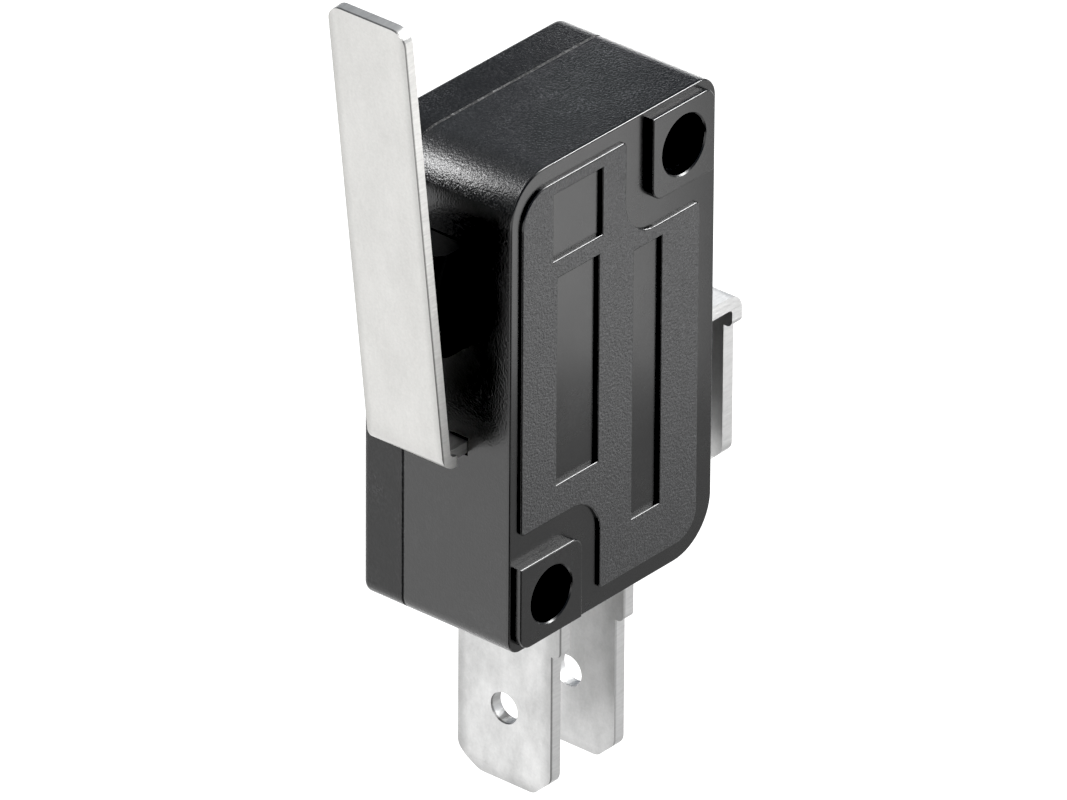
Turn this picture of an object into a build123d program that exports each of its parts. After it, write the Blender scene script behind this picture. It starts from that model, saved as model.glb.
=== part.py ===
from build123d import *
import os
from math import asin, cos, degrees, radians, sqrt, tan

os.makedirs("parts", exist_ok=True)

# Frame: millimetres, X across the body from the lever side to the common terminal, Z along it.
# The origin is on the back face, at the axis of the lower mounting hole. The front is towards -Y,
# and a depth below is always measured from the back face towards the front.

# Mounting holes, which set the size of the body
hole_pitch_across = 10.3
hole_pitch_along = 22.2
hole_edge = 2.8
hole_edge_right = 3.1  # the side with the common terminal is a little wider
lower_hole_diameter = 3.2
upper_hole_diameter = 3.4
hole_chamfer = 0.08

# Moulded body: a case with the front wall, and a cover that closes it from behind
rim_depth = 10.0
seam_offset = 2.35  # how far the seam lies behind the middle of the mechanism
side_wall = 1.5
front_wall = 1.05
back_wall = 1.25
floor_gap = 0.3
lower_left_radius = 0.9
lower_right_radius = 3.0
upper_left_radius = 2.6
upper_right_radius = 1.3
rim_edge_radius = 0.1
back_edge_radius = 0.35
seam_chamfer = 0.07
cavity_corner_radius = 0.7
post_wall = 1.2
join_depth = 0.1  # how far a raised part starts inside the wall that carries it
overcut = 1.0  # how far a cut runs past the face that it opens

# Relief on the front: two square bosses, one raised panel and three sunk fields in the panel
boss_half = 2.45
boss_rise = 0.5
boss_round = 0.8
panel_rise = 0.2
panel_margin_left = 0.7
panel_margin_right = 1.4
panel_margin_top = 1.0
panel_margin_bottom = 1.15
upper_notch_across = 1.75
upper_notch_along = 1.65
lower_notch = 1.7
notch_round = 2.3
panel_corner = 0.3
relief_edge = 0.1  # how far the front edges of the bosses and the panel are rounded
field_sink = 0.25
square_field = (3.15, 22.15, 3.85, 3.9)
long_field = (3.5, 8.85, 3.25, 12.2)
slim_field = (9.55, 4.2, 2.2, 15.9)

# Push-on terminals, stamped from strip
strip = 0.8
strip_clearance = 0.05
shoulder_width = 7.5
blade_width = 6.35
blade_length = 8.85
shoulder_drop = 3.0
tip_chamfer_across = 1.3
tip_chamfer_along = 1.2
tip_round = 0.4
tip_bevel = 0.2
tip_bevel_length = 0.7
detent_diameter = 1.85
detent_from_tip = 4.55
nc_offset = 5.4
terminal_pitch = 5.15
terminal_top = 7.2

# Common terminal, bent down outside the body
common_height = 12.1
common_gap = 2.95
common_bend = 1.0
common_shoulder = 1.9
inner_width = 5.0
pocket_length = 2.2
pocket_height = 4.0

# Contacts, riveted into the fixed terminals and the contact arm
contact_height = 5.2
contact_diameter = 3.0
contact_thickness = 0.83
contact_crown = 6.0
rivet_diameter = 1.4
rivet_head_diameter = 2.2
rivet_head = 0.25
moving_thickness = 1.6
contact_gap = 0.05

# Contact arm and rocker, both thin stampings with two legs and a window for the spring
arm_sheet = 0.35
rocker_sheet = 0.5
window_width = 3.0
window_end = 1.0
window_corner = 0.3
pivot_play = 0.05
arm_hook = 4.55
arm_margin = 0.2
rocker_offset = 1.175
rocker_top = 1.5
hook_drop = 0.75
hook_lead = 0.655
hook_edge = 0.45
hook_hole_diameter = 0.48
sheet_corner = 0.4

# Toggle spring
spring_radius = 0.62
spring_wire = 0.24
wire_sides = 8
spring_turns = 8
spring_loop_seat = 0.2

# Plunger
plunger_height = 20.4
plunger_width = 4.0
plunger_length = 6.0
plunger_clearance = 0.05
plunger_crown = 7.0
plunger_edge = 0.8
flange_thickness = 0.8
flange_margin = 0.8
flange_side = 0.45
flange_gap = 0.05
stem_width = 2.9
stem_length = 2.4
nose_radius = 1.0
touch_gap = 0.05

# Lever, a strip of spring steel with its foot bent into the case
lever_sheet = 0.65
lever_width = 5.1
lever_foot_height = 11.15
lever_stand_off = 2.49
lever_tilt = 6.85
lever_rise = 26.6
lever_bend = 0.72
lever_corner = 0.85
foot_neck_start = 1.45
foot_neck_width = 4.0
foot_head = 0.6
foot_gap = 0.1
foot_head_width = 5.0
foot_play = 0.2
foot_side_play = 0.05

# Pegs that locate the cover
peg_diameter = 1.1
peg_length = 1.6
peg_clearance = 0.05
peg_wall = 0.45

# Places worked out from the sizes above
body_left = -hole_edge
body_bottom = -hole_edge
body_width = hole_edge + hole_pitch_across + hole_edge_right
body_height = hole_pitch_along + 2 * hole_edge
body_right = body_left + body_width
body_top = body_bottom + body_height
boss_depth = rim_depth + boss_rise
cavity_front = rim_depth - front_wall
middle_depth = (back_wall + cavity_front) / 2
cover_depth = middle_depth - seam_offset
cavity_left = body_left + side_wall
cavity_right = body_right - side_wall
cavity_top = body_top - side_wall
post_reach = hole_edge + lower_hole_diameter / 2 + post_wall
post_x = hole_pitch_across - lower_hole_diameter / 2 - post_wall
post_z = body_top - post_reach

nc_x = body_left + nc_offset
no_x = nc_x + terminal_pitch
shoulder_z = body_bottom - shoulder_drop
terminal_tip_z = shoulder_z - blade_length
contact_z = body_bottom + contact_height
arm_tail = contact_diameter / 2 + arm_margin
cavity_floor = contact_z - arm_tail - floor_gap
nc_face_x = nc_x + strip + contact_thickness
no_face_x = no_x - contact_thickness

common_z = body_bottom + common_height
common_top_z = common_z + strip
common_inner_x = body_right + common_gap
common_outer_x = common_inner_x + strip

arm_pivot_x = (nc_face_x + no_face_x) / 2
arm_pivot_z = common_z - pivot_play
arm_length = arm_pivot_z - contact_z
arm_swing = (no_face_x - nc_face_x - moving_thickness) / 2 - contact_gap
arm_rest_angle = degrees(asin(arm_swing / arm_length))

foot_x = body_left - lever_stand_off
lever_pivot_x = body_left + side_wall / 2
lever_pivot_z = body_bottom + lever_foot_height + lever_sheet / 2
plunger_z = body_bottom + plunger_height
lever_reach = plunger_z - lever_pivot_z
inner_face_rest_x = foot_x + lever_sheet / cos(radians(lever_tilt)) - lever_sheet / 2 * tan(radians(lever_tilt))
lever_face_distance = (lever_pivot_x - inner_face_rest_x) * cos(radians(lever_tilt))


def lever_face_x(tilt):
    """Where the lever's inner face stands at the plunger's height, for an outward tilt in degrees."""
    lean = radians(tilt)
    return lever_pivot_x - lever_face_distance / cos(lean) - lever_reach * tan(lean)


def crown_place(tilt):
    """Where the plunger's crown stands when it just clears the lever at a tilt in degrees."""
    return lever_face_x(tilt) - plunger_crown + (plunger_crown + touch_gap) / cos(radians(tilt))


crown_x = crown_place(lever_tilt)

rocker_pivot_x = arm_pivot_x + rocker_offset
rocker_pivot_z = common_top_z + pivot_play
rocker_reach = plunger_z - rocker_pivot_z
rocker_length = rocker_reach + rocker_top
rocker_hook = rocker_reach - stem_length / 2 - hook_drop
hook_rest_x = arm_pivot_x - hook_lead
rocker_rest_angle = degrees(asin((rocker_pivot_x - hook_rest_x) / rocker_hook))
rocker_face_rest_x = (
    rocker_pivot_x
    - rocker_reach * tan(radians(rocker_rest_angle))
    - rocker_sheet / 2 / cos(radians(rocker_rest_angle))
)
nose_x = rocker_face_rest_x + nose_radius - (nose_radius + touch_gap) / cos(radians(rocker_rest_angle))


def at_depth(depth):
    """The plane that faces forward at a depth from the back face: its x is X and its y is Z."""
    return Plane.XZ.offset(depth)


def block(left, right, bottom, top, back, front):
    """A rectangular block between two places across, two along and two depths."""
    solid = Box(right - left, front - back, top - bottom, align=(Align.MIN, Align.MAX, Align.MIN))
    return Pos(left, -back, bottom) * solid


def rounded(sketch, point, radius):
    """The sketch with the corner nearest to a point rounded."""
    corner = sketch.vertices().sort_by_distance((point[0], point[1], 0))[0]
    return fillet(corner, radius)


def polygon(points, radii):
    """A flat face through points, with a radius at each point and 0 for a sharp one."""
    face = make_face(Polyline(*points, close=True))
    for point, radius in zip(points, radii):
        if radius > 0:
            face = rounded(face, point, radius)
    return face


def body_outline():
    corners = [
        (body_left, body_bottom),
        (body_right, body_bottom),
        (body_right, body_top),
        (body_left, body_top),
    ]
    radii = [lower_left_radius, lower_right_radius, upper_right_radius, upper_left_radius]
    return polygon(corners, radii)


def cavity_outline():
    """The room for the mechanism, which leaves the corners with the mounting holes solid."""
    step_x = nc_x - 2 * strip
    step_z = body_bottom + post_reach
    corners = [
        (cavity_left, step_z),
        (step_x, step_z),
        (step_x, cavity_floor),
        (cavity_right, cavity_floor),
        (cavity_right, post_z),
        (post_x, post_z),
        (post_x, cavity_top),
        (cavity_left, cavity_top),
    ]
    r = cavity_corner_radius
    return polygon(corners, [r, 0, 0, r, r, r, r, r])


def mounting_holes(back, front):
    depth = front - back
    lower = extrude(at_depth(back) * Circle(lower_hole_diameter / 2), depth)
    upper_place = Pos(hole_pitch_across, hole_pitch_along)
    upper = extrude(at_depth(back) * upper_place * Circle(upper_hole_diameter / 2), depth)
    return lower + upper


def hole_cone(x, z, diameter):
    """The small chamfer at the mouth of a hole in its boss."""
    mouth = Cone(diameter / 2, diameter / 2 + hole_chamfer, hole_chamfer)
    return Pos(x, -boss_depth + hole_chamfer / 2, z) * Rot(90, 0, 0) * mouth


def terminal_slots(back, front):
    """Openings for the three terminals, between two depths."""
    gap = strip_clearance
    low = body_bottom - overcut
    nc_slot = block(nc_x - gap, nc_x + strip + gap, low, cavity_floor + overcut, back, front)
    no_slot = block(no_x - gap, no_x + strip + gap, low, cavity_floor + overcut, back, front)
    pocket_left = cavity_right - pocket_length - overcut
    common_slot = block(
        pocket_left, body_right + overcut, common_z - gap, common_top_z + gap, back, front
    )
    return nc_slot + no_slot + common_slot


def common_pocket(back, front):
    """The thick part of the wall that grips the common terminal."""
    middle = (common_z + common_top_z) / 2
    low = middle - pocket_height / 2
    left = cavity_right - pocket_length
    return block(left, cavity_right + join_depth, low, low + pocket_height, back, front)


def peg_places():
    """The pegs sit in the floor between the two lower terminals and in the solid upper corner."""
    inset = peg_diameter / 2 + peg_wall
    floor_x = (nc_x + strip + no_x) / 2
    return [(floor_x, (body_bottom + cavity_floor) / 2), (post_x + inset, post_z + inset)]


def upper_boss():
    x = hole_pitch_across
    z = hole_pitch_along
    h = boss_half
    corners = [(x - h, z - h), (x + h, z - h), (x + h, z + h), (x - h, z + h)]
    return polygon(corners, [boss_round, 0, boss_round, 0])


def lower_boss():
    h = boss_half
    corners = [(-h, -h), (h, -h), (h, h), (-h, h)]
    return polygon(corners, [boss_round, 0, boss_round, 0])


def panel_outline():
    """The raised panel, cut back round the two bosses."""
    left = body_left + panel_margin_left
    right = body_right - panel_margin_right
    top = body_top - panel_margin_top
    bottom = body_bottom + panel_margin_bottom
    upper_x = hole_pitch_across - boss_half - upper_notch_across
    upper_z = hole_pitch_along - boss_half - upper_notch_along
    lower_x = boss_half + lower_notch
    lower_z = boss_half + lower_notch
    corners = [
        (left, top),
        (upper_x, top),
        (upper_x, upper_z),
        (right, upper_z),
        (right, bottom),
        (lower_x, bottom),
        (lower_x, lower_z),
        (left, lower_z),
    ]
    right_round = lower_right_radius - panel_margin_right
    left_round = upper_left_radius - panel_margin_left
    r = panel_corner
    return polygon(corners, [left_round, r, notch_round, r, right_round, r, notch_round, r])


def sunk_field(field):
    """A field is given by its left and bottom, from the body's corner, its width and its height."""
    left, bottom, width, height = field
    face = Pos(body_left + left, body_bottom + bottom) * Rectangle(
        width, height, align=(Align.MIN, Align.MIN)
    )
    floor_depth = rim_depth + panel_rise - field_sink
    return extrude(at_depth(floor_depth) * face, field_sink + overcut)


def raised(outline, rise, fields=()):
    """A part of the front relief, with its front edges rounded, also round the fields sunk in it."""
    relief = extrude(at_depth(rim_depth - join_depth) * outline, rise + join_depth)
    for field in fields:
        relief -= sunk_field(field)
    front_edges = relief.faces().sort_by(Axis.Y)[0].edges()
    return fillet(front_edges, relief_edge)


def make_case():
    shell = extrude(at_depth(cover_depth) * body_outline(), rim_depth - cover_depth)
    rim_edges = shell.faces().sort_by(Axis.Y)[0].edges()
    shell = fillet(rim_edges, rim_edge_radius)
    seam_edges = shell.faces().sort_by(Axis.Y)[-1].edges()
    shell = chamfer(seam_edges, seam_chamfer)
    fields = (square_field, long_field, slim_field)
    for field in fields:
        shell -= sunk_field(field)
    shell += raised(panel_outline(), panel_rise, fields)
    shell += raised(upper_boss(), boss_rise)
    shell += raised(lower_boss(), boss_rise)
    behind = cover_depth - overcut
    room = extrude(at_depth(behind) * cavity_outline(), cavity_front - behind)
    shell -= room - common_pocket(behind - overcut, rim_depth)
    shell -= terminal_slots(behind, cavity_front)
    shell -= mounting_holes(behind, boss_depth + overcut)
    shell -= hole_cone(0, 0, lower_hole_diameter)
    shell -= hole_cone(hole_pitch_across, hole_pitch_along, upper_hole_diameter)
    half = foot_neck_width / 2 + foot_side_play
    shell -= block(
        body_left - overcut,
        cavity_left + overcut,
        lever_pivot_z - lever_sheet / 2 - foot_play,
        lever_pivot_z + lever_sheet / 2 + foot_play,
        behind,
        middle_depth + half,
    )
    half = plunger_width / 2 + plunger_clearance
    shell -= block(
        body_left - overcut,
        cavity_left + overcut,
        plunger_z - plunger_length / 2 - plunger_clearance,
        plunger_z + plunger_length / 2 + plunger_clearance,
        behind,
        middle_depth + half,
    )
    for x, z in peg_places():
        socket = Pos(x, z) * Circle(peg_diameter / 2 + peg_clearance)
        shell -= extrude(at_depth(behind) * socket, overcut + peg_length + peg_clearance)
    return shell


def make_cover():
    shell = extrude(at_depth(0) * body_outline(), cover_depth)
    shell = fillet(shell.faces().sort_by(Axis.Y)[-1].edges(), back_edge_radius)
    shell = chamfer(shell.faces().sort_by(Axis.Y)[0].edges(), seam_chamfer)
    room = extrude(at_depth(back_wall) * cavity_outline(), cover_depth)
    shell -= room - common_pocket(0, rim_depth)
    shell -= terminal_slots(back_wall, cover_depth + overcut)
    shell -= mounting_holes(-overcut, cover_depth + overcut)
    start = cover_depth - join_depth
    tongue_front = middle_depth - foot_neck_width / 2 - foot_side_play
    shell += block(
        body_left + seam_chamfer,
        cavity_left,
        lever_pivot_z - lever_sheet / 2 - foot_play + plunger_clearance,
        lever_pivot_z + lever_sheet / 2 + foot_play - plunger_clearance,
        start,
        tongue_front,
    )
    tongue_front = middle_depth - plunger_width / 2 - plunger_clearance
    shell += block(
        body_left + seam_chamfer,
        cavity_left,
        plunger_z - plunger_length / 2,
        plunger_z + plunger_length / 2,
        start,
        tongue_front,
    )
    for x, z in peg_places():
        peg = Pos(x, z) * Circle(peg_diameter / 2)
        shell += extrude(at_depth(start) * peg, peg_length + join_depth)
    return shell


def tab_outline(top):
    """A push-on terminal seen flat: shoulders above, a narrower blade with cut corners below."""
    wide = shoulder_width / 2
    half = blade_width / 2
    tip = shoulder_z - blade_length
    start = tip + tip_chamfer_along
    inset = half - tip_chamfer_across
    corners = [
        (-wide, top),
        (-wide, shoulder_z),
        (-half, shoulder_z),
        (-half, start),
        (-inset, tip),
        (inset, tip),
        (half, start),
        (half, shoulder_z),
        (wide, shoulder_z),
        (wide, top),
    ]
    r = tip_round
    radii = [0, r, 0, 2 * r, 2 * r, 2 * r, 2 * r, 0, r, 0]
    face = polygon(corners, radii)
    return face - Pos(0, tip + detent_from_tip) * Circle(detent_diameter / 2)


def tab_blade(left, top):
    """The flat blade, from its left face, with both faces bevelled at the tip."""
    plane = Plane(origin=(left, -middle_depth, 0), x_dir=(0, 1, 0), z_dir=(1, 0, 0))
    blade = extrude(plane * tab_outline(top), strip)
    tip = shoulder_z - blade_length
    half = shoulder_width
    for face_x, side in ((left, 1), (left + strip, -1)):
        wedge = make_face(
            Polyline(
                (face_x - side, tip - overcut),
                (face_x + side * tip_bevel, tip),
                (face_x, tip + tip_bevel_length),
                (face_x - side, tip + tip_bevel_length),
                close=True,
            )
        )
        blade -= extrude(at_depth(middle_depth - half) * wedge, 2 * half)
    return blade


def rivet_bore(x):
    hole = Cylinder(rivet_diameter / 2, 2 * (strip + overcut))
    return Pos(x, -middle_depth, contact_z) * Rot(0, 90, 0) * hole


def make_lower_terminal(left):
    top = body_bottom + terminal_top
    return tab_blade(left, top) - rivet_bore(left)


def make_common_terminal():
    """One strip: a fork inside, a step in the wall, a bend outside and the blade hanging from it."""
    bend_x = common_outer_x - common_bend
    pocket_x = cavity_right - pocket_length
    wide = shoulder_width / 2
    narrow = inner_width / 2
    fork_x = arm_pivot_x - window_end - 2 * spring_radius
    plate = block(
        pocket_x, bend_x, common_z, common_top_z, middle_depth - wide, middle_depth + wide
    )
    plate += block(
        fork_x - window_end, pocket_x, common_z, common_top_z, middle_depth - narrow, middle_depth + narrow
    )
    window = block(
        fork_x,
        rocker_pivot_x + window_end,
        common_z - overcut,
        common_top_z + overcut,
        middle_depth - window_width / 2,
        middle_depth + window_width / 2,
    )
    plate -= window
    arm_groove = Pos(arm_pivot_x, arm_pivot_z) * Circle(arm_sheet / 2 + pivot_play)
    rocker_groove = Pos(rocker_pivot_x, rocker_pivot_z) * Circle(rocker_sheet / 2 + pivot_play)
    plate -= extrude(at_depth(0) * (arm_groove + rocker_groove), rim_depth)
    drop = common_top_z - common_shoulder - shoulder_z
    blade = Pos(0, 0, drop) * tab_blade(common_inner_x, common_top_z - common_bend - drop)
    bend_place = Pos(bend_x, common_top_z - common_bend)
    ring = Circle(common_bend) - Circle(common_bend - strip)
    quarter = Rectangle(common_bend, common_bend, align=(Align.MIN, Align.MIN))
    bend = extrude(at_depth(middle_depth - wide) * bend_place * (ring & quarter), 2 * wide)
    return plate + bend + blade


def contact_head(diameter, thickness, crown):
    """A domed contact that rises along +Z from its flat back, drawn as half a section and turned."""
    radius = diameter / 2
    drop = crown - sqrt(crown**2 - radius**2)
    side = make_face(
        Polyline((0, 0), (radius, 0), (radius, thickness - drop))
        + ThreePointArc(
            (radius, thickness - drop),
            (radius / 2, thickness - crown + sqrt(crown**2 - radius**2 / 4)),
            (0, thickness),
        )
        + Line((0, thickness), (0, 0))
    )
    return revolve(Plane.XZ * side, Axis.Z)


def make_fixed_contact(face_x, facing):
    """A rivet whose head faces +X for 1 or -X for -1, closed over on the far side of the terminal."""
    head = contact_head(contact_diameter, contact_thickness, contact_crown)
    shank = Cylinder(rivet_diameter / 2, strip, align=(Align.CENTER, Align.CENTER, Align.MAX))
    closed = Cylinder(
        rivet_head_diameter / 2, rivet_head, align=(Align.CENTER, Align.CENTER, Align.MAX)
    )
    closed = chamfer(closed.edges().sort_by(Axis.Z)[0], rivet_head / 2)
    rivet = head + shank + Pos(0, 0, -strip) * closed
    return Pos(face_x, -middle_depth, contact_z) * Rot(0, 90 * facing, 0) * rivet


def forked_sheet(length, sheet, hook, hook_side):
    """A stamping that stands on its rounded pivot end at the origin and rises along +Z.

    Two legs leave a window for the spring, up to the bar that has the hook's hole. The bar's edge
    is on the pivot's side of the hole, by hook_side.
    """
    half = inner_width / 2
    edge = hook - hook_side
    outline = polygon(
        [(-half, 0), (half, 0), (half, length), (-half, length)], [0, 0, sheet_corner, sheet_corner]
    )
    inside = window_width / 2
    window = [(-inside, -overcut), (inside, -overcut), (inside, edge), (-inside, edge)]
    outline -= polygon(window, [0, 0, window_corner, window_corner])
    outline -= Pos(0, hook) * Circle(hook_hole_diameter / 2)
    plane = Plane(origin=(-sheet / 2, 0, 0), x_dir=(0, 1, 0), z_dir=(1, 0, 0))
    body = extrude(plane * outline, sheet)
    knife = Rot(90, 0, 0) * Cylinder(sheet / 2, inner_width)
    knife -= Box(sheet * 2, window_width, sheet * 2)
    return body + knife


def make_contact_arm():
    arm = forked_sheet(arm_length + arm_tail, arm_sheet, arm_hook, hook_edge)
    arm -= Pos(0, 0, arm_length) * Rot(0, 90, 0) * Cylinder(rivet_diameter / 2, 2 * arm_sheet)
    return arm_place() * arm


def arm_place():
    return Pos(arm_pivot_x, -middle_depth, arm_pivot_z) * Rot(0, 180 + arm_rest_angle, 0)


def make_moving_contact():
    """Two heads on one rivet, one on each side of the arm."""
    reach = moving_thickness / 2 - arm_sheet / 2
    head = Pos(0, 0, arm_sheet / 2) * contact_head(contact_diameter, reach, contact_crown)
    shank = Cylinder(rivet_diameter / 2, arm_sheet)
    rivet = head + shank + Rot(180, 0, 0) * head
    return arm_place() * Pos(0, 0, arm_length) * Rot(0, 90, 0) * rivet


def make_rocker():
    rocker = forked_sheet(rocker_length, rocker_sheet, rocker_hook, hook_edge)
    return rocker_place() * rocker


def rocker_place():
    return Pos(rocker_pivot_x, -middle_depth, rocker_pivot_z) * Rot(0, -rocker_rest_angle, 0)


def make_toggle_spring():
    """A tension spring between the arm's hole and the rocker's, with a round loop at each end.

    The thin wire is drawn with a few flat sides, which keeps so small a piece light.
    """
    low = (arm_place() * Pos(0, 0, arm_hook)).position
    high = (rocker_place() * Pos(0, 0, rocker_hook)).position
    span = (high - low).length
    axis = Plane(origin=low, x_dir=(0, 1, 0), z_dir=high - low)
    coil_start = spring_radius + spring_loop_seat
    coil_length = span - 2 * coil_start
    helix = Helix(coil_length / spring_turns, coil_length, spring_radius)
    wire = RegularPolygon(spring_wire / 2, wire_sides)
    section = Plane(origin=helix @ 0, z_dir=helix % 0) * wire
    coil = Pos(0, 0, coil_start) * sweep(section, path=helix, is_frenet=True)
    ring = revolve(Plane.XZ * Pos(spring_radius, 0) * wire, Axis.Z)
    loop = Rot(0, 90, 0) * ring
    spring = coil + Pos(0, 0, spring_radius) * loop + Pos(0, 0, span - spring_radius) * loop
    return axis.location * spring


def make_plunger():
    """The button: a block with a domed end, a flange behind the wall and a stem to the rocker."""
    half = plunger_length / 2
    wide = plunger_width / 2
    dome_centre = crown_x + plunger_crown
    dome_edge = dome_centre - sqrt(plunger_crown**2 - half**2)
    flange_x = cavity_left + flange_gap
    side = make_face(
        Line((flange_x, plunger_z - half), (dome_edge, plunger_z - half))
        + ThreePointArc((dome_edge, plunger_z - half), (crown_x, plunger_z), (dome_edge, plunger_z + half))
        + Line((dome_edge, plunger_z + half), (flange_x, plunger_z + half))
        + Line((flange_x, plunger_z + half), (flange_x, plunger_z - half))
    )
    button = extrude(at_depth(middle_depth - wide) * side, 2 * wide)
    rim = button.edges().filter_by(GeomType.CIRCLE)
    button = fillet(rim, plunger_edge)
    flange_half = half + flange_margin
    flange_wide = wide + flange_side
    button += block(
        flange_x,
        flange_x + flange_thickness,
        plunger_z - flange_half,
        plunger_z + flange_half,
        middle_depth - flange_wide,
        middle_depth + flange_wide,
    )
    stem_half = stem_length / 2
    nose_centre = nose_x - nose_radius
    stem = block(
        flange_x,
        nose_centre,
        plunger_z - stem_half,
        plunger_z + stem_half,
        middle_depth - stem_width / 2,
        middle_depth + stem_width / 2,
    )
    nose = Pos(nose_centre, plunger_z) * Circle(nose_radius)
    stem += extrude(at_depth(middle_depth - stem_width / 2) * nose, stem_width)
    return button + stem


def make_lever():
    """The strip, swept along its side view, then narrowed at the foot and rounded at the top."""
    mid_height = lever_pivot_z
    slope = tan(radians(lever_tilt))
    offset = lever_sheet / 2 / cos(radians(lever_tilt))
    knee_x = foot_x + offset - lever_sheet / 2 * slope
    tip_x = knee_x - lever_rise * slope
    foot_end = cavity_left + foot_gap + foot_head
    path = FilletPolyline(
        (foot_end, -middle_depth, mid_height),
        (knee_x, -middle_depth, mid_height),
        (tip_x, -middle_depth, mid_height + lever_rise),
        radius=lever_bend,
    )
    section_plane = Plane(origin=path @ 0, x_dir=(0, 1, 0), z_dir=path % 0)
    strip_solid = sweep(section_plane * Rectangle(lever_width, lever_sheet), path=path)
    top_face = strip_solid.faces().sort_by(Axis.Z)[-1]
    strip_solid = fillet(top_face.edges().sort_by(SortBy.LENGTH)[:2], lever_corner)
    neck_half = foot_neck_width / 2
    for side in (-1, 1):
        near = middle_depth + side * neck_half
        far = middle_depth + side * lever_width
        strip_solid -= block(
            body_left - foot_neck_start,
            cavity_left + foot_gap,
            mid_height - lever_sheet,
            mid_height + lever_sheet,
            min(near, far),
            max(near, far),
        )
    return strip_solid


nodes = {
    "case": make_case,
    "cover": make_cover,
    "common_terminal": make_common_terminal,
    "nc_terminal": lambda: make_lower_terminal(nc_x),
    "no_terminal": lambda: make_lower_terminal(no_x),
    "nc_contact": lambda: make_fixed_contact(nc_x + strip, 1),
    "no_contact": lambda: make_fixed_contact(no_x, -1),
    "lever": make_lever,
    "plunger": make_plunger,
    "rocker": make_rocker,
    "contact_arm": make_contact_arm,
    "moving_contact": make_moving_contact,
    "toggle_spring": make_toggle_spring,
}

for name, make in nodes.items():
    export_step(make(), f"parts/{name}.step")
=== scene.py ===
from math import cos, pi, radians, sin

import bpy
from mathutils import Matrix, Vector


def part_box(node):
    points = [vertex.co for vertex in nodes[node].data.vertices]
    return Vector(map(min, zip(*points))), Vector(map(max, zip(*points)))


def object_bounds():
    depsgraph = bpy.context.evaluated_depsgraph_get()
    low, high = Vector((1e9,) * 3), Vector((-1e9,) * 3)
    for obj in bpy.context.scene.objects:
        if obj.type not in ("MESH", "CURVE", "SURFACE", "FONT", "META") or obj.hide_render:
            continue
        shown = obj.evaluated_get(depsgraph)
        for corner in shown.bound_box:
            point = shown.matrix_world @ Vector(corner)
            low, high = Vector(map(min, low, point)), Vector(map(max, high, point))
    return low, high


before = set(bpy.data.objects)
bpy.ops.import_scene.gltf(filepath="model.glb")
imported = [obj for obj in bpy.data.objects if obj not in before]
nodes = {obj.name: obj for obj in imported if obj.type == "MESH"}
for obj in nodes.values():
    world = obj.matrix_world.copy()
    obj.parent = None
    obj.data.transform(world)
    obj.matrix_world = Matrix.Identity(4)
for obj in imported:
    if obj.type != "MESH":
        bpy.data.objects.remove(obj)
cad_low, cad_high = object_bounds()
mm = 0.001

# Camera: a long lens from the upper left front. The body's middle falls on a known pixel of the
# 1067 by 800 picture, and the lens gives the scale of the picture. The black level makes the
# deepest shadows pure black.
picture_width = 1067
picture_height = 800
middle_pixel = (542.2, 336.0)
azimuth = radians(-49.711)
elevation = radians(29.578)
roll = radians(0.358)
distance = 0.9
focal_pixels = 17410.5
sensor = 36.0
nearest = 0.01
farthest = 20.0
black_level = 0.006

case_low, case_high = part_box("case")
cover_low, cover_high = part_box("cover")
body_low = Vector(map(min, case_low, cover_low))
body_high = Vector(map(max, case_high, cover_high))
body_middle = (body_low + body_high) / 2
back = Vector((sin(azimuth) * cos(elevation), -cos(azimuth) * cos(elevation), sin(elevation)))
level_right = Vector((0, 0, 1)).cross(back).normalized()
level_up = back.cross(level_right)
right = level_right * cos(roll) + level_up * sin(roll)
up = level_up * cos(roll) - level_right * sin(roll)
aside = (middle_pixel[0] - picture_width / 2) * distance / focal_pixels
above = (picture_height / 2 - middle_pixel[1]) * distance / focal_pixels
camera_data = bpy.data.cameras.new("camera")
camera_data.sensor_width = sensor
camera_data.lens = focal_pixels / picture_width * sensor
camera_data.clip_start = nearest
camera_data.clip_end = farthest
camera = bpy.data.objects.new("camera", camera_data)
bpy.context.scene.collection.objects.link(camera)
stand = body_middle + back * distance - right * aside - up * above
turn = Matrix((right, up, back)).transposed().to_4x4()
camera.matrix_world = Matrix.Translation(stand) @ turn
bpy.context.scene.camera = camera
view = bpy.context.scene.view_settings
view.view_transform = "Standard"
view.use_curve_mapping = True
view.curve_mapping.black_level = (black_level, black_level, black_level)
view.curve_mapping.update()


# Light table: a pale floor some way below the part. It glows evenly and so brightly that it shows
# no shadow, and it fills the background.
floor_drop = 60 * mm
floor_half = 6.0
floor_glow = 1.42


def tree_of(material):
    """A new node tree's two makers: one for nodes and one for links."""
    material.use_nodes = True
    tree = material.node_tree
    tree.nodes.clear()

    def node(kind, **values):
        made = tree.nodes.new(kind)
        for name, value in values.items():
            setattr(made, name, value)
        return made

    return node, tree.links.new


def glowing(name, strength):
    """A surface that only gives off white light, or is plain black where its strength is nothing."""
    material = bpy.data.materials.new(name)
    node, link = tree_of(material)
    glow = node("ShaderNodeEmission")
    glow.inputs["Color"].default_value = (1.0, 1.0, 1.0, 1.0)
    glow.inputs["Strength"].default_value = strength
    link(glow.outputs[0], node("ShaderNodeOutputMaterial").inputs["Surface"])
    return material


def flat_sheet(name, material, middle, side, rise):
    """A flat stage piece with four corners, which are its middle plus or minus side and rise."""
    mesh = bpy.data.meshes.new(name)
    near_edge = [middle - side - rise, middle + side - rise]
    far_edge = [middle + side + rise, middle - side + rise]
    mesh.from_pydata(near_edge + far_edge, [], [(0, 1, 2, 3)])
    mesh.materials.append(material)
    piece = bpy.data.objects.new(name, mesh)
    bpy.context.scene.collection.objects.link(piece)
    return piece


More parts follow.
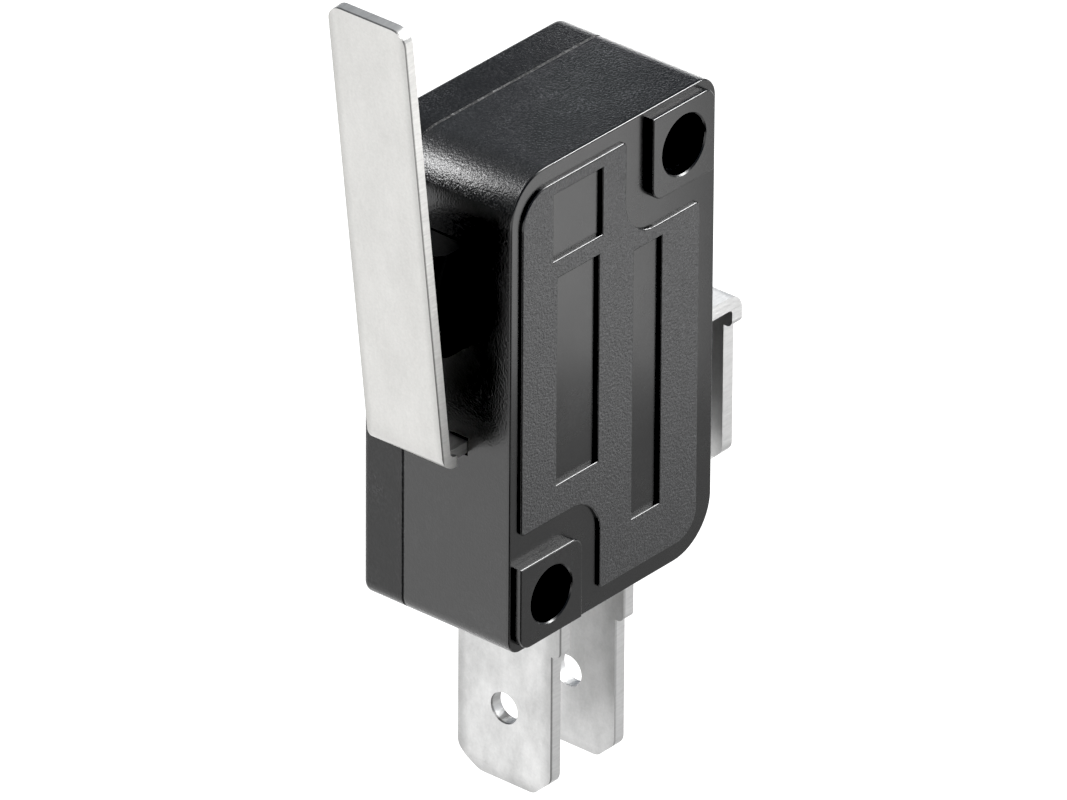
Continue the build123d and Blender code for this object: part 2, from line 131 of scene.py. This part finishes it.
floor_z = cad_low.z - floor_drop
flat_sheet(
    "floor",
    glowing("light_table", floor_glow),
    middle=Vector((0, 0, floor_z)),
    side=Vector((floor_half, 0, 0)),
    rise=Vector((0, floor_half, 0)),
)


# Studio: a dim blue-grey room, three softboxes, a lamp that makes the upper left corner shine, and
# three small lamps near the part. The small ones are seen in the panel, the top and the foot of the
# bent blade, which they shade from one end to the other.
room_colour = (0.45, 0.51, 0.60, 1.0)
room_strength = 0.28
seen_in_corner = (-0.60, 0.562, 0.56)
seen_in_front = (0.663, -0.562, -0.494)
seen_in_top = (0.663, 0.562, 0.494)
above_body = (0.1, 0.56, 0.82)
beyond_right = (0.663, -0.40, 0.63)
corner_inset = 1.5 * mm
corner = Vector((body_low.x + corner_inset, -5.0 * mm, body_high.z - corner_inset))
panel_top = Vector((-3.0 * mm, body_low.y, 26.0 * mm))
lid = Vector((-1.0 * mm, -5.5 * mm, body_high.z))
common_foot = Vector((15.0 * mm, -5.1 * mm, 10.1 * mm))

world = bpy.data.worlds.new("studio")
bpy.context.scene.world = world
world.use_nodes = True
room = world.node_tree.nodes["Background"]
room.inputs["Color"].default_value = room_colour
room.inputs["Strength"].default_value = room_strength


def softbox(name, target, direction, reach, size, radiance):
    """A square lamp that stands off from a target in a direction and faces it.

    Its power is its radiance times pi and its area, so a lamp keeps its look when its size changes.
    """
    lamp = bpy.data.lights.new(name, "AREA")
    lamp.shape = "SQUARE"
    lamp.size = size
    lamp.energy = radiance * pi * size * size
    holder = bpy.data.objects.new(name, lamp)
    away = Vector(direction).normalized()
    place = Matrix.Translation(target + away * reach)
    holder.matrix_world = place @ away.to_track_quat("Z", "Y").to_matrix().to_4x4()
    holder.visible_camera = False
    bpy.context.scene.collection.objects.link(holder)


softbox("back_left_box", corner, seen_in_corner, reach=0.5, size=0.46, radiance=3.0)
softbox("corner_lamp", corner, seen_in_corner, reach=0.45, size=0.17, radiance=14.0)
softbox("overhead_box", body_middle, above_body, reach=0.6, size=0.4, radiance=0.5)
softbox("front_right_box", body_middle, beyond_right, reach=0.5, size=0.2, radiance=24.0)
softbox("panel_lamp", panel_top, seen_in_front, reach=0.045, size=0.02, radiance=1.3)
softbox("lid_lamp", lid, seen_in_top, reach=0.045, size=0.02, radiance=0.3)
softbox("foot_lamp", common_foot, seen_in_top, reach=0.025, size=0.014, radiance=1.6)


# Cards: a grey one on the table shades the front, a black one darkens walls and rolled edges that
# face the camera, and another stands up behind the lever to hide the table's far end. Only
# reflections see them.
card_lift = 5 * mm
on_table = floor_z + card_lift
grey_glow = 0.54
black_glow = 0.0
grey_place = Vector((122 * mm, -105 * mm, on_table))
black_place = Vector((-100 * mm, -100 * mm, on_table))
back_left_place = corner + Vector((-280 * mm, 210 * mm, 15 * mm))


def card(name, strength, middle, side, rise):
    """A glowing or black sheet of the stage that the camera doesn't see."""
    sheet = flat_sheet(name, glowing(name, strength), middle, side, rise)
    sheet.visible_camera = False


card(
    "grey_card",
    grey_glow,
    middle=grey_place,
    side=Vector((120 * mm, 0, 0)),
    rise=Vector((0, 110 * mm, 0)),
)
card(
    "black_card",
    black_glow,
    middle=black_place,
    side=Vector((85 * mm, 0, 0)),
    rise=Vector((0, 85 * mm, 0)),
)
card(
    "back_left_card",
    black_glow,
    middle=back_left_place,
    side=Vector((150 * mm, 200 * mm, 0)),
    rise=Vector((0, 0, 75 * mm)),
)


# Case and cover: two shells moulded of black thermoset, held together by pegs. The raised panel has
# the coarse grain of a spark-eroded mould and the sides a finer one. The rim, the bosses and the
# sunk fields are nearly smooth.
panel_front = -10.2 * mm
panel_reach = 0.13 * mm  # how far before or behind that depth still counts as the panel
facing_front = 0.75  # least part of a normal that looks forward on the front's rounded edges
facing_flat = 0.95  # the same on a flat face
rim_start = -9.82 * mm  # all that lies before this depth has the front's finish
grain_size = 0.15 * mm
side_grain_size = 0.12 * mm
grain_height = 0.05 * mm
left_grain = 0.5  # share of the grain on flat faces that look left
left_haze = 0.4  # the same for the haze
front_haze = 0.2
noise_mean = 0.5
speck_size = 0.11 * mm
speck_start = 0.46  # a speck starts where its noise is above this, and is full at the next value
speck_full = 0.66
speckle = 0.16  # how much rougher a speck is than what lies beside it, on rounded corners
plain_base = 0.6
speck_base = 0.8
cloud_size = 3.0 * mm
cloud_dulling = 0.16
wear_gain = 1.9
wear_sharpness = 3.0
seam = -2.75 * mm
seam_reach = 0.1 * mm
seam_dulling = 0.5
coarse_detail = 2.0
cloud_detail = 5.0
black_tint = (1.0, 1.01, 1.05)


def calculator(node, link):
    """A maker for math nodes: each takes sockets or plain numbers and gives its result's socket."""

    def calculate(operation, *terms):
        made = node("ShaderNodeMath", operation=operation)
        for socket, term in zip(made.inputs, terms):
            if isinstance(term, (int, float)):
                socket.default_value = term
            else:
                link(term, socket)
        return made.outputs[0]

    return calculate


def noise(node, link, where, size, detail=3.0, roughness=0.6):
    """A noise texture whose largest lumps have a given size in metres, read at a point's place."""
    made = node("ShaderNodeTexNoise")
    made.inputs["Scale"].default_value = 1 / size
    made.inputs["Detail"].default_value = detail
    made.inputs["Roughness"].default_value = roughness
    link(where, made.inputs["Vector"])
    return made.outputs["Fac"]


def ramp(node, link, value, low, high, at_low=0.0, at_high=1.0):
    """A smooth step from at_low to at_high, as the value goes from low to high."""
    made = node("ShaderNodeMapRange", interpolation_type="SMOOTHSTEP")
    made.inputs["From Min"].default_value = low
    made.inputs["From Max"].default_value = high
    made.inputs["To Min"].default_value = at_low
    made.inputs["To Max"].default_value = at_high
    link(value, made.inputs["Value"])
    return made.outputs["Result"]


def bump(node, link, shader, height, distance, strength=1.0):
    """Fine relief on the shader: a height of one stands out by the distance."""
    made = node("ShaderNodeBump")
    made.inputs["Strength"].default_value = strength
    made.inputs["Distance"].default_value = distance
    link(height, made.inputs["Height"])
    link(made.outputs["Normal"], shader.inputs["Normal"])


def colour_by(node, link, calculate, shader, tone, colour):
    """Sets the shader's base colour to a colour times a tone that changes from point to point."""
    shade = node("ShaderNodeCombineColor")
    for channel, amount in zip(("Red", "Green", "Blue"), colour):
        link(calculate("MULTIPLY", tone, amount), shade.inputs[channel])
    link(shade.outputs[0], shader.inputs["Base Color"])


def moulded(name, haze, ior, side, smooth, panel):
    """Black moulded plastic: an almost black base under a clear skin, with a haze of fine wear.

    haze is how bright that wear is. side, smooth and panel are each the skin's roughness, the
    height of its grain and the base's brightness on the sides, on the rim with the bosses and sunk
    fields, and on the raised panel.
    """
    material = bpy.data.materials.new(name)
    node, link = tree_of(material)
    calculate = calculator(node, link)
    shader = node("ShaderNodeBsdfPrincipled")
    shader.inputs["IOR"].default_value = ior
    where = node("ShaderNodeTexCoord")
    place = node("ShaderNodeSeparateXYZ")
    link(where.outputs["Object"], place.inputs[0])
    facing = node("ShaderNodeSeparateXYZ")
    link(where.outputs["Normal"], facing.inputs[0])
    turned_front = calculate("LESS_THAN", facing.outputs["Y"], -facing_front)
    near_front = calculate("LESS_THAN", place.outputs["Y"], rim_start)
    is_front = calculate("MAXIMUM", turned_front, near_front)
    at_panel = calculate("COMPARE", place.outputs["Y"], panel_front, panel_reach)
    is_flat = calculate("LESS_THAN", facing.outputs["Y"], -facing_flat)
    is_panel = calculate("MULTIPLY", at_panel, is_flat)
    is_left = calculate("LESS_THAN", facing.outputs["X"], -facing_flat)
    sideways = calculate("MAXIMUM", *(calculate("ABSOLUTE", facing.outputs[axis]) for axis in "XZ"))
    is_round = calculate("LESS_THAN", sideways, facing_flat)
    is_side = calculate("SUBTRACT", 1.0, is_front)

    def by_place(index):
        front = calculate("MULTIPLY_ADD", is_panel, panel[index] - smooth[index], smooth[index])
        step = calculate("SUBTRACT", front, side[index])
        return calculate("MULTIPLY_ADD", is_front, step, side[index])

    def share_where(mask, share):
        """One, or the share where the mask is set."""
        return calculate("MULTIPLY_ADD", mask, share - 1.0, 1.0)

    coarse = noise(node, link, where.outputs["Object"], grain_size, coarse_detail)
    fine = noise(node, link, where.outputs["Object"], side_grain_size, coarse_detail)
    cloud = noise(node, link, where.outputs["Object"], cloud_size, cloud_detail)
    specks = noise(node, link, where.outputs["Object"], speck_size, coarse_detail, roughness=0.5)
    sparkle = ramp(node, link, specks, speck_start, speck_full)

    lumps = calculate("MULTIPLY_ADD", is_front, calculate("SUBTRACT", coarse, fine), fine)
    grain = calculate("MULTIPLY", by_place(1), share_where(is_left, left_grain))
    bump(node, link, shader, calculate("MULTIPLY", lumps, grain), grain_height)

    clouded = calculate("MULTIPLY", calculate("SUBTRACT", cloud, noise_mean), cloud_dulling)
    skin = calculate("ADD", by_place(0), clouded)
    at_seam = calculate("COMPARE", place.outputs["Y"], seam, seam_reach)
    dull_seam = calculate("MULTIPLY", at_seam, calculate("SUBTRACT", 1.0, sparkle))
    skin = calculate("MULTIPLY_ADD", dull_seam, seam_dulling, skin)
    speckled = calculate("MULTIPLY", calculate("MULTIPLY", is_side, is_round), speckle)
    skin = calculate("MULTIPLY_ADD", calculate("SUBTRACT", sparkle, noise_mean), speckled, skin)
    link(skin, shader.inputs["Roughness"])

    wear = calculate("POWER", calculate("MULTIPLY", cloud, wear_gain), wear_sharpness)
    worn = calculate("MULTIPLY", wear, sparkle)
    haze_here = calculate("MULTIPLY", share_where(is_front, front_haze), haze)
    haze_here = calculate("MULTIPLY", haze_here, share_where(is_left, left_haze))
    # Brighter base at specks: on the case's panel these are painted glints of its grain; elsewhere
    # they are barely seen flecks.
    flecks_and_glints = calculate("MULTIPLY_ADD", sparkle, speck_base, plain_base)
    tone = calculate("MULTIPLY_ADD", worn, haze_here, calculate("MULTIPLY", by_place(2), flecks_and_glints))
    colour_by(node, link, calculate, shader, tone, black_tint)
    link(shader.outputs[0], node("ShaderNodeOutputMaterial").inputs["Surface"])
    return material


def paint(node_name, material):
    """Gives all of a node's faces one material."""
    for slot in nodes[node_name].material_slots:
        slot.material = material


side_skin = (0.22, 0.7, 0.001)
smooth_skin = (0.26, 0.03, 0.001)
# The case's panel has a lighter base, 0.032 against 0.001 on the rest: a painted sheen for the light
# its coarse grain catches.
case_panel = (0.32, 1.2, 0.032)
cover_panel = (0.3, 0.3, 0.001)
case_black = moulded(
    "case_thermoset", haze=0.022, ior=1.66, side=side_skin, smooth=smooth_skin, panel=case_panel
)
cover_black = moulded(
    "cover_thermoset", haze=0.024, ior=1.46, side=side_skin, smooth=smooth_skin, panel=cover_panel
)
paint("case", case_black)
paint("cover", cover_black)


# Plunger: a small domed block of black plastic, moulded, that slides in its slot in the case. It is
# dull and has hardly any grain.
plunger_skin = (0.32, 0.06, 0.001)
plunger_black = moulded(
    "plunger_plastic", haze=0.001, ior=1.15, side=plunger_skin, smooth=plunger_skin, panel=plunger_skin
)
paint("plunger", plunger_black)


# Lever: stainless strip, punched out, bent over at its lower end and hung in the case by its foot.
# It is left satin from the rolls. Its punched edges are grey and streaked, with a painted dark line
# next to the face, painted shade for the dark that the rounded corner reflects. The face is painted
# darker along its sides and towards its bent lower end, as painted shade.
lever_tilt = radians(6.85)
lever_outward = (-cos(lever_tilt), 0.0, -sin(lever_tilt))
lever_face = 4.256 * mm
lever_sheet = 0.65 * mm
lever_half = 2.55 * mm
lever_low_end = 7.6 * mm
sheet_middle = -5.1 * mm
edge_facing = 0.6  # a face that looks along the sheet's normal by less than this is an edge
strip_cloud = 2.0 * mm
rolling_line = 0.12 * mm
streak_width = 0.16 * mm
strip_grain = 0.15 * mm
cloud_stretch = (1, 1, 0.6)
rolling_stretch = (1, 1, 0.12)
streak_stretch = (0.2, 1, 1)
no_stretch = (1, 1, 1)
line_detail = 3.0
grain_gain = 3.0  # the grain counts so many times as much as the rolling lines
marks_mean = (1 + grain_gain) * noise_mean
face_contrast = 0.07
streak_contrast = 0.5
# The next two place a painted shade: the punched edge is painted dark just under the face, for the
# dark that its rounded corner reflects.
corner_shade_start = 0.12  # the rolled-over line is full down to this share of the sheet
corner_shade_end = 0.25  # and fades out at this one
edge_dulling = 0.1
rolling_height = 0.003 * mm
streak_height = 0.02 * mm


def rolled(
    name, colour, rough, outward, face, sheet, half, low_end,
    cloudy, border, border_tone, end_reach, edge_tone, corner_shade_tone,
):
    """Rolled strip with punched edges.

    One face of the strip looks in the direction outward and lies at the distance face along it. The
    strip is sheet thick, reaches half to each side of its middle, and ends at the height low_end.
    Depth is how far a point lies under that face, as a share of the sheet. What doesn't look along
    the sheet's normal is a punched edge of brightness edge_tone, and its streaks run through the
    sheet. Just under the face the edge is painted darkest, at the corner shade tone: painted shade
    for the dark that the rounded corner reflects. The faces have clouds, fine rolling lines and a
    darker border of brightness border_tone, border wide and at the low end end_reach wide.
    """
    material = bpy.data.materials.new(name)
    node, link = tree_of(material)
    calculate = calculator(node, link)
    shader = node("ShaderNodeBsdfPrincipled")
    shader.inputs["Metallic"].default_value = 1.0
    where = node("ShaderNodeTexCoord")
    place = node("ShaderNodeSeparateXYZ")
    link(where.outputs["Object"], place.inputs[0])

    def along(source):
        dot = node("ShaderNodeVectorMath", operation="DOT_PRODUCT")
        link(source, dot.inputs[0])
        dot.inputs[1].default_value = outward
        return dot.outputs["Value"]

    def stretched(scale, size, detail):
        scaled = node("ShaderNodeMapping", vector_type="POINT")
        scaled.inputs["Scale"].default_value = scale
        link(where.outputs["Object"], scaled.inputs["Vector"])
        return noise(node, link, scaled.outputs["Vector"], size, detail)

    under_face = calculate("SUBTRACT", face, along(where.outputs["Object"]))
    depth = calculate("DIVIDE", under_face, sheet)
    turned_out = calculate("ABSOLUTE", along(where.outputs["Normal"]))
    is_edge = calculate("LESS_THAN", turned_out, edge_facing)
    from_middle = calculate("ABSOLUTE", calculate("SUBTRACT", place.outputs["Y"], sheet_middle))
    to_side = calculate("SUBTRACT", half, from_middle)
    to_end = calculate("SUBTRACT", place.outputs["Z"], low_end)
    inset = calculate("MINIMUM", to_side, calculate("MULTIPLY", to_end, border / end_reach))

    cloud = stretched(cloud_stretch, strip_cloud, cloud_detail)
    rolling = stretched(rolling_stretch, rolling_line, line_detail)
    streaks = stretched(streak_stretch, streak_width, line_detail)
    grain = stretched(no_stretch, strip_grain, coarse_detail)
    from_mean = calculate("SUBTRACT", cloud, noise_mean)
    face_tone = calculate("MULTIPLY_ADD", from_mean, cloudy, 1.0)
    marks = calculate("MULTIPLY_ADD", grain, grain_gain, rolling)
    fine_marks = calculate("SUBTRACT", marks, marks_mean)
    face_tone = calculate("MULTIPLY_ADD", fine_marks, face_contrast, face_tone)
    # The faces are darker along their borders; on the lever this is painted shade, for the dark its
    # rounded sides and bent low end reflect.
    bordered = ramp(node, link, inset, 0.0, border, border_tone, 1.0)
    face_tone = calculate("MULTIPLY", face_tone, bordered)
    streaked = calculate("SUBTRACT", streaks, noise_mean)
    punched_tone = calculate("MULTIPLY_ADD", streaked, streak_contrast, edge_tone)
    # Painted shade: the punched edge is darkest just under the face, standing in for the dark the
    # rounded corner reflects.
    painted_corner_shade = ramp(node, link, depth, corner_shade_start, corner_shade_end, corner_shade_tone, 1.0)
    punched_tone = calculate("MULTIPLY", punched_tone, painted_corner_shade)
    step = calculate("SUBTRACT", punched_tone, face_tone)
    tone = calculate("MULTIPLY_ADD", is_edge, step, face_tone)
    colour_by(node, link, calculate, shader, tone, colour)

    skin = calculate("MULTIPLY_ADD", from_mean, cloud_dulling, rough)
    skin = calculate("MULTIPLY_ADD", is_edge, edge_dulling, skin)
    link(skin, shader.inputs["Roughness"])
    face_height = calculate("MULTIPLY", rolling, rolling_height)
    edge_height = calculate("MULTIPLY", streaks, streak_height)
    step = calculate("SUBTRACT", edge_height, face_height)
    height = calculate("MULTIPLY_ADD", is_edge, step, face_height)
    bump(node, link, shader, height, 1.0)
    link(shader.outputs[0], node("ShaderNodeOutputMaterial").inputs["Surface"])
    return material


# border_tone and end_reach here paint the face darker along its sides and over its last 2.6 mm at the
# bend: painted shade.
lever_steel = rolled(
    "lever_steel", (0.54, 0.536, 0.522), rough=0.34, outward=lever_outward,
    face=lever_face, sheet=lever_sheet, half=lever_half, low_end=lever_low_end,
    cloudy=0.3, border=0.5 * mm, border_tone=0.82, end_reach=2.6 * mm, edge_tone=1.36, corner_shade_tone=0.32,
)
paint("lever", lever_steel)


# Terminals: brass strip, punched, bent and tinned before it is pushed into the case. The tin is
# cloudy, its faces are darker along the borders, and the punched edges are rough. The three
# terminals are painted in lighter and darker tones of the same tin, as painted light and shade:
# the far no terminal is darkest and the common one lightest.
tab_half = 3.175 * mm
tab_sheet = 0.8 * mm
tab_end = -14.65 * mm
common_end = -0.65 * mm
to_left = (-1.0, 0.0, 0.0)
nc_face = -2.6 * mm
no_face = -7.75 * mm
common_face = -16.35 * mm
tin_rough = 0.32

nc_tin = rolled(
    "nc_tin", (0.52, 0.52, 0.517), rough=tin_rough, outward=to_left,
    face=nc_face, sheet=tab_sheet, half=tab_half, low_end=tab_end,
    cloudy=1.1, border=0.8 * mm, border_tone=0.74, end_reach=1.2 * mm, edge_tone=1.46, corner_shade_tone=0.4,
)
# Painted shade: the far terminal's tin is darker than the near one's, 0.46 against 0.52, for the shade
# the near terminal gives it.
shaded_no_tin = rolled(
    "shaded_no_tin", (0.46, 0.46, 0.458), rough=tin_rough, outward=to_left,
    face=no_face, sheet=tab_sheet, half=tab_half, low_end=tab_end,
    cloudy=0.9, border=0.6 * mm, border_tone=0.9, end_reach=0.8 * mm, edge_tone=1.74, corner_shade_tone=0.7,
)
common_tin = rolled(
    "common_tin", (0.56, 0.56, 0.556), rough=tin_rough, outward=to_left,
    face=common_face, sheet=tab_sheet, half=tab_half, low_end=common_end,
    cloudy=0.7, border=0.5 * mm, border_tone=0.9, end_reach=0.8 * mm, edge_tone=1.36, corner_shade_tone=1.0,
)
paint("nc_terminal", nc_tin)
paint("no_terminal", shaded_no_tin)
paint("common_terminal", common_tin)


# Inner metal: the rocker and the contact arm are brass stampings, the contacts are riveted silver
# and the toggle spring is drawn wire. All of it is hidden once the cover is on.
rough_spread = 0.07
line_strength = 0.3


def metal(name, colour, rough, line_size, line_depth):
    """Bare metal whose roughness and fine relief change together, by plus or minus rough_spread."""
    material = bpy.data.materials.new(name)
    node, link = tree_of(material)
    shader = node("ShaderNodeBsdfPrincipled")
    shader.inputs["Metallic"].default_value = 1.0
    shader.inputs["Base Color"].default_value = (*colour, 1)
    where = node("ShaderNodeTexCoord")
    lines = noise(node, link, where.outputs["Object"], line_size)
    skin = node("ShaderNodeMapRange")
    skin.inputs["To Min"].default_value = rough - rough_spread
    skin.inputs["To Max"].default_value = rough + rough_spread
    link(lines, skin.inputs["Value"])
    link(skin.outputs["Result"], shader.inputs["Roughness"])
    bump(node, link, shader, lines, line_depth, line_strength)
    link(shader.outputs[0], node("ShaderNodeOutputMaterial").inputs["Surface"])
    return material


bare_brass = metal(
    "bare_brass", (0.70, 0.50, 0.26), rough=0.32, line_size=0.2 * mm, line_depth=0.004 * mm
)
silver = metal(
    "silver", (0.85, 0.84, 0.81), rough=0.25, line_size=0.15 * mm, line_depth=0.003 * mm
)
spring_wire = metal(
    "spring_wire", (0.45, 0.45, 0.46), rough=0.3, line_size=0.1 * mm, line_depth=0.003 * mm
)
for name in ("rocker", "contact_arm"):
    paint(name, bare_brass)
for name in ("nc_contact", "no_contact", "moving_contact"):
    paint(name, silver)
paint("toggle_spring", spring_wire)
